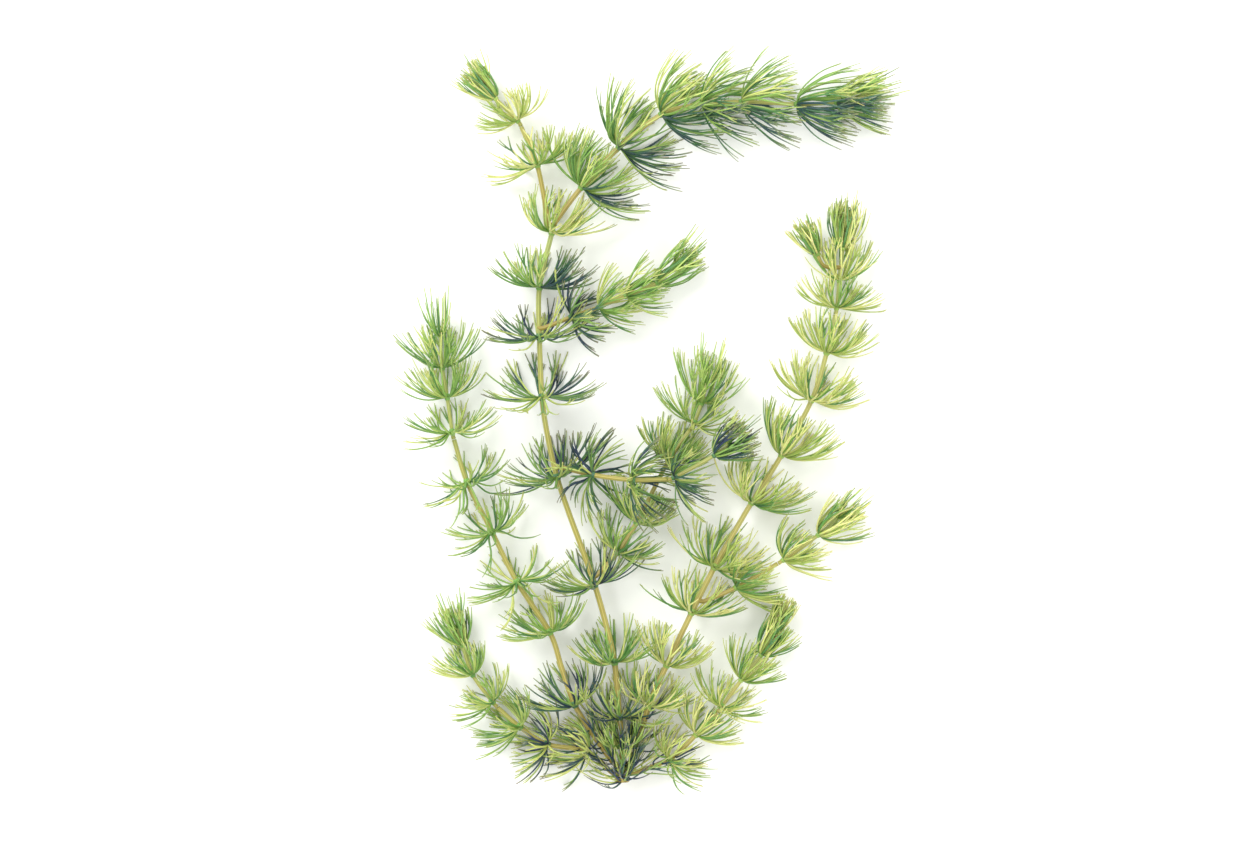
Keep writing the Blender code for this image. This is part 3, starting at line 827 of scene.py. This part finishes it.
def companion(whorl, before, after, lifts, rng):
    """A slighter leaf between two of a whorl's leaves: its direction, fork and points.

    It stands like its neighbours, but is lifted towards the stem or, below nought, hangs.
    """
    hub = whorl["hub"]
    axis = whorl["axis"]
    share = rng.uniform(*COMPANION_PLACE)
    outward = unit(
        unit(before["root"] - hub) * (1 - share) + unit(after["root"] - hub) * share
    )

    def placed(reach, rise, aside):
        outer = max(reach * math.cos(lift) - rise * math.sin(lift), LEAST_REACH)
        upper = rise * math.cos(lift) + reach * math.sin(lift)
        return hub + outward * outer + axis * upper + np.cross(axis, outward) * aside

    ends = [sum(leaf["points"]) / 2 - hub for leaf in (before, after)]
    forks = [leaf["fork"] - hub for leaf in (before, after)]
    fullness = rng.uniform(*COMPANION_LENGTHS)
    end_rise = sum(end @ axis for end in ends) / 2 * fullness
    end_reach = sum(np.linalg.norm(end - axis * (end @ axis)) for end in ends) / 2 * fullness
    fork_rise = sum(fork @ axis for fork in forks) / 2
    fork_reach = sum(np.linalg.norm(fork - axis * (fork @ axis)) for fork in forks) / 2
    lift = rng.uniform(*lifts)
    drift = rng.uniform(*COMPANION_DRIFT) * end_reach
    spread = rng.uniform(*COMPANION_SPREAD) * np.linalg.norm([end_reach, end_rise])
    onward = rng.uniform(*COMPANION_FORK)
    fork_reach += (end_reach - fork_reach) * onward
    fork_rise += (end_rise - fork_rise) * onward
    fork = placed(fork_reach, fork_rise, 0)
    points = [placed(end_reach, end_rise, drift + side * spread) for side in (1, -1)]
    return outward, fork, points


def near_foot(hub):
    return np.linalg.norm(hub - lines["main"][0, :3]) < FOOT_REACH


def lifts_at(node, hub):
    """The ranges of lift of the slighter leaves beside each leaf of a whorl, one for each."""
    if near_foot(hub):
        return FOOT_LIFTS
    if re.match(DENSE_WHORLS, node):
        return DENSE_LIFTS
    if node.endswith("_tip"):
        return TIP_LIFTS
    return OPEN_LIFTS if node in OPEN_WHORLS else COMPANION_LIFTS


def grow_whorl(tissue, whorl, name, slot, scale, lifts, rng, shading=None):
    """A whorl's node and leaves, with slighter leaves between them."""
    hub = whorl["hub"]
    axis = whorl["axis"]
    radius = radius_at(name, hub)
    middle_shade = sum(low + high for _chance, low, high in SHADES[slot][:2]) / 4
    swollen_node(tissue, whorl, radius, middle_shade)
    first = unit(whorl["leaves"][0]["root"] - hub)
    second = np.cross(axis, first)

    def azimuth(leaf):
        aside = leaf["root"] - hub
        return math.atan2(aside @ second, aside @ first) % (2 * math.pi)

    leaves = sorted(whorl["leaves"], key=azimuth)
    for leaf, after in zip(leaves, leaves[1:] + leaves[:1]):
        outward = unit(leaf["root"] - hub)
        start = hub + outward * radius * ROOT_DEPTH
        shade = pick_shade(slot, rng)
        if shading:
            shade = shading(unit(leaf["fork"] - hub), shade, rng)
        grow_leaf(tissue, start, axis, outward, leaf["fork"], leaf["points"], scale, shade, rng)
        for lift in lifts:
            outward, fork, points = companion(whorl, leaf, after, lift, rng)
            shade = pick_shade(slot, rng)
            if shading:
                shade = shading(unit(fork - hub), shade, rng)
            start = hub + outward * radius * ROOT_DEPTH
            if clear_of(np.array([fork, *points, (fork + points[0]) / 2]), name, STEM_ROOM):
                grow_leaf(
                    tissue, start, axis, outward, fork, points, scale * COMPANION_SCALE, shade, rng,
                )


def shade_below(direction, shade, rng):
    """A leaf's shade on a branch whose lower side is in the shadow of its upper side."""
    if direction[1] < 0.0:
        deep = rng.random() < LOWER_DEEP_SHARE
        return rng.uniform(*LOWER_DEEP) if deep else rng.uniform(*LOWER_HALF)
    return shade


def shade_right(direction, shade, rng):
    """A leaf's shade in a whorl whose right side is in the shadow of a side shoot."""
    return rng.uniform(*RIGHT_DEEP) if direction[0] > RIGHT_START else shade


slots = {part["node"]: part["material_slot"] for part in frame["record"]["subparts"]}
for node in sorted(frame["nodes"]):
    if "_whorl_" in node:
        name = re.sub("_whorl_[0-9]+$", "", node)
        rng = random.Random(node)
        bm = welded(node)
        whorl = read_whorls(read_leaves(bm))[0]
        tissue = Tissue()
        shading = None
        if name == SHADED_BRANCH:
            shading = shade_below
        if node == SHADED_WHORL:
            shading = shade_right
        tone = slots[node]
        # Dark whorls near the foot draw their tones from the foot's mix, which has more painted deep
        # shade
        if tone == "dark_leaves" and near_foot(whorl["hub"]):
            tone = "foot"
        lifts = lifts_at(node, whorl["hub"])
        grow_whorl(tissue, whorl, name, tone, 1.0, lifts, rng, shading)
        bm.free()
        tissue.piece(node + "_leaves", [leaf_skins[slots[node]]], node)


# The foot. Where the shoots fork from the crown, short leaves crowd on the upper side of every
# stem and hide it, and many are painted in deep shade. They grow straight out of the stems.
FOOT_LEAVES = 12
CROWN_LEAVES = 46
FOOT_SCALE = 0.8

# The stretch of stem that they grow from, how far round it from straight up, how far they lean
# away from it, and how flat the plant's lying down has pressed them
FOOT_STRETCH = (1.0 * MM, 20.0 * MM)
CROWN_STRETCH = (0.5 * MM, 9.0 * MM)
FOOT_ROLL = (-1.4, 1.4)
FOOT_LEAN = (0.35, 1.1)
CROWN_LEAN = (0.35, 1.7)
FOOT_PRESS = np.array([1.0, 1.0, 0.45])

# Their length, and as shares of it how far along they fork and how far apart the prongs end.
# Above its fork a leaf leans less.
FOOT_LENGTH = (12.0 * MM, 19.0 * MM)
FOOT_FORK = 0.4
FOOT_PRONGS = 0.12
UPPER_LEAN = 0.7


def foot_leaf(tissue, name, stretch, leans, rng):
    """One leaf on the upper side of a stem near the crown, where it keeps clear of the others."""
    line = lines[name]
    travelled = np.cumsum(np.linalg.norm(np.diff(line[:, :3], axis=0), axis=1))
    row = int(np.searchsorted(travelled, rng.uniform(*stretch)))
    axis = unit(line[row + 2, :3] - line[row, :3])
    across = unit(np.cross(axis, UP))
    roll = rng.uniform(*FOOT_ROLL)
    outward = unit(across * math.sin(roll) + np.cross(across, axis) * math.cos(roll))
    length = rng.uniform(*FOOT_LENGTH)
    lean = rng.uniform(*leans)
    flat = unit(outward * FOOT_PRESS)
    side = unit(np.cross(axis, flat))
    start = line[row, :3] + outward * line[row, 3] * ROOT_DEPTH
    fork = start + (flat * math.sin(lean) + axis * math.cos(lean)) * length * FOOT_FORK
    onward = flat * math.sin(lean * UPPER_LEAN) + axis * math.cos(lean * UPPER_LEAN)
    middle = fork + onward * length * (1 - FOOT_FORK)
    points = [middle + side * length * FOOT_PRONGS * turn for turn in (1, -1)]
    if clear_of(np.array([fork, *points, (fork + middle) / 2]), name, STEM_ROOM):
        shade = pick_shade("foot", rng)
        grow_leaf(tissue, start, axis, outward, fork, points, FOOT_SCALE, shade, rng)


for name in sorted(stems):
    if np.linalg.norm(lines[name][0, :3] - lines["main"][0, :3]) < FOOT_STRETCH[1]:
        rng = random.Random(name + "_foot")
        tissue = Tissue()
        for _number in range(FOOT_LEAVES):
            foot_leaf(tissue, name, FOOT_STRETCH, FOOT_LEAN, rng)
        if name == "main":
            for _number in range(CROWN_LEAVES):
                foot_leaf(tissue, name, CROWN_STRETCH, CROWN_LEAN, rng)
        tissue.piece(
            name + "_foot_leaves", [leaf_skins["dark_leaves"]], name + "_stem",
        )


# Growing tips. At the end of a shoot the young whorls are still packed on a soft green stem, in
# a dense brush round a bud. Their leaves are finer, more upright and paler.
TIP_LEAF_SCALE = 0.88
LEAF_SKIN = 0
STEM_SKIN = 1

# Young leaves are straight. They start inside the stem and bend a little towards the bud.
YOUNG_STEPS = 7
YOUNG_AGE = (0.1, 1.0)
YOUNG_DEPTH = 0.5
YOUNG_HOOK = 0.3

# The bud's core starts a little wider than the stem that carries it and narrows to its point
CORE_SWELL = (0.5, 1.0)
CORE_WIDTHS = (0.2, 0.9)
CORE_AGE = (0.2, 0.9)
CORE_SHADE = 0.3

# The smallest leaves stand round the bud in a spiral, each a golden share of a turn further on.
# No bud points aslant like this, so every bud's sides can be found from it.
BUD_LEAVES = 16
BUD_LEAF_WIDTH = 0.3 * MM
BUD_TURN = 0.382
BUD_SHIFT = (-0.3, 0.3)
BUD_LENGTHS = (0.5, 1.0)
BUD_LEAN = (0.15, 0.6)
BUD_DEPTH = (0.0, 2.0 * MM)
BUD_START = 0.8
BUD_CURL = 0.3
ASLANT = np.array([0.3, 0.2, 1.0])


def needle(tissue, line, widths, outward, slot, rng):
    """A young leaf that doesn't fork yet, along a line."""
    thread(
        tissue, line, widths, outward, np.linspace(*YOUNG_AGE, YOUNG_STEPS),
        pick_shade(slot, rng), rng.uniform(0, 1),
    )


def grow_bud(tissue, tip, slot, rng):
    """The bud's closed core, its young straight leaves, and smaller ones curled over it."""
    axis = unit(tip["bud"] - tip["base"])
    core = arc(tip["base"], tip["bud"], axis, axis, YOUNG_STEPS)
    swell = np.sin(np.linspace(*CORE_SWELL, YOUNG_STEPS) * math.pi)
    tissue.tube(
        core, BUD_RADIUS * (CORE_WIDTHS[0] + CORE_WIDTHS[1] * swell), UP,
        np.linspace(*CORE_AGE, YOUNG_STEPS), CORE_SHADE,
    )
    lengths = []
    for root, point in tip["young"]:
        outward = root - tip["base"]
        outward = unit(outward - axis * (outward @ axis))
        lengths.append(np.linalg.norm(point - root))
        line = arc(
            root - outward * BUD_RADIUS * YOUNG_DEPTH, point, unit(outward + axis),
            unit(point - root + axis * YOUNG_HOOK * lengths[-1]), YOUNG_STEPS,
        )
        widths = np.linspace(STALK_WIDTH, POINT_WIDTH, YOUNG_STEPS) * TIP_LEAF_SCALE
        needle(tissue, line, widths, outward, slot, rng)
    reach = sum(lengths) / len(lengths)
    side = unit(np.cross(axis, ASLANT))
    other = np.cross(axis, side)
    widths = np.linspace(BUD_LEAF_WIDTH, POINT_WIDTH, YOUNG_STEPS)
    for number in range(BUD_LEAVES):
        turn = 2 * math.pi * (number + rng.uniform(*BUD_SHIFT)) * BUD_TURN
        outward = side * math.cos(turn) + other * math.sin(turn)
        length = reach * rng.uniform(*BUD_LENGTHS)
        lean = rng.uniform(*BUD_LEAN)
        root = tip["base"] - axis * rng.uniform(*BUD_DEPTH)
        line = arc(
            root, root + unit(axis + outward * lean) * length, unit(outward * BUD_START + axis),
            unit(axis + outward * lean * BUD_CURL), YOUNG_STEPS,
        )
        needle(tissue, line, widths, outward, slot, rng)


for name, tip in tips.items():
    node = name + "_tip"
    rng = random.Random(node)
    tissue = Tissue()
    rows = [[*tip["start"], radius_at(name, tip["start"])]]
    if name not in stems:
        rows = axil_row(name) + rows
    rows += [[*whorl["hub"], radius_at(name, whorl["hub"])] for whorl in tip["whorls"]]
    rows.append([*tip["base"], BUD_RADIUS])
    tissue.material = STEM_SKIN
    stem_tube(tissue, rows, name)
    tissue.material = LEAF_SKIN
    shading = shade_below if name == SHADED_BRANCH else None
    for whorl in tip["whorls"]:
        lifts = lifts_at(node, whorl["hub"])
        grow_whorl(tissue, whorl, name, slots[node], TIP_LEAF_SCALE, lifts, rng, shading)
    grow_bud(tissue, tip, slots[node], rng)
    tissue.piece(node + "_brush", [leaf_skins[slots[node]], stem_skin], node)


# The surface that the plant lies on: a wide pale board, matt, with the faintest mottling.
BOARD_SIZE = 6.0
BOARD_DROP = 0.1 * MM
BOARD_MOTTLE = 40.0 * MM
BOARD_COLOURS = ((0.3, "F6F6F3"), (0.7, "FBFBF9"))
BOARD_ROUGHNESS = 0.9
BOARD_GLOSS = 0.1


def make_board_material():
    """Matt white paint, rolled on: faint cloudy variation and no gloss."""
    material = bpy.data.materials.new("matt_white_paint")
    material.use_nodes = True
    tree = material.node_tree
    shader = tree.nodes["Principled BSDF"]
    spot = add_node(tree, "ShaderNodeTexCoord", {})
    mottle = add_node(
        tree, "ShaderNodeTexNoise",
        {"Vector": spot.outputs["Object"], "Scale": 1 / BOARD_MOTTLE, "Detail": 2.0},
    )
    colour = add_node(
        tree, "ShaderNodeValToRGB", {"Fac": mottle.outputs["Fac"]}, stops=BOARD_COLOURS,
    )
    tree.links.new(colour.outputs["Color"], shader.inputs["Base Color"])
    shader.inputs["Roughness"].default_value = BOARD_ROUGHNESS
    shader.inputs["Specular IOR Level"].default_value = BOARD_GLOSS
    return material


bpy.ops.mesh.primitive_plane_add(size=BOARD_SIZE, location=(0.0, 0.0, -BOARD_DROP))
board = bpy.context.object
board.name = "white_board"
board.data.materials.append(make_board_material())

# Light: a white room and two large soft lamps, the stronger one from the upper left. Each lamp
# has its place and its size in metres, and its power in watts.
ROOM_LIGHT = 0.96
LAMPS = {
    "key_lamp": ((-0.9, 0.9, 1.5), 1.2, 32.0),
    "fill_lamp": ((1.1, -0.5, 1.3), 1.4, 14.0),
}

world = bpy.data.worlds.new("white_room")
world.use_nodes = True
room = world.node_tree.nodes["Background"]
room.inputs["Color"].default_value = linear("FFFFFF")
room.inputs["Strength"].default_value = ROOM_LIGHT
bpy.context.scene.world = world
bpy.context.scene.view_settings.view_transform = "Standard"

for name, (place, size, power) in LAMPS.items():
    lamp = bpy.data.objects.new(name, bpy.data.lights.new(name, "AREA"))
    lamp.data.size = size
    lamp.data.energy = power
    lamp.location = place
    lamp.rotation_euler = (-lamp.location).to_track_quat("-Z", "Y").to_euler()
    bpy.context.scene.collection.objects.link(lamp)

# Camera: straight above the plant, with a long lens. The picture is half a metre wide at the
# height of the stems, and its middle lies 143 mm up from the cut base.
LENS = 100.0
SENSOR = 36.0
PICTURE_PIXELS = 1250
PIXEL = 0.4 * MM
PICTURE_WIDTH = PICTURE_PIXELS * PIXEL
PICTURE_MIDDLE = np.array([1.2, 142.8]) * MM
STEM_HEIGHT = 12.0 * MM

camera = bpy.data.objects.new("camera", bpy.data.cameras.new("camera"))
camera.data.lens = LENS
camera.data.sensor_width = SENSOR
aim = lines["main"][0, :2] + PICTURE_MIDDLE
camera.location = (*aim, STEM_HEIGHT + PICTURE_WIDTH * LENS / SENSOR)
bpy.context.scene.collection.objects.link(camera)
bpy.context.scene.camera = camera

bpy.context.view_layer.update()
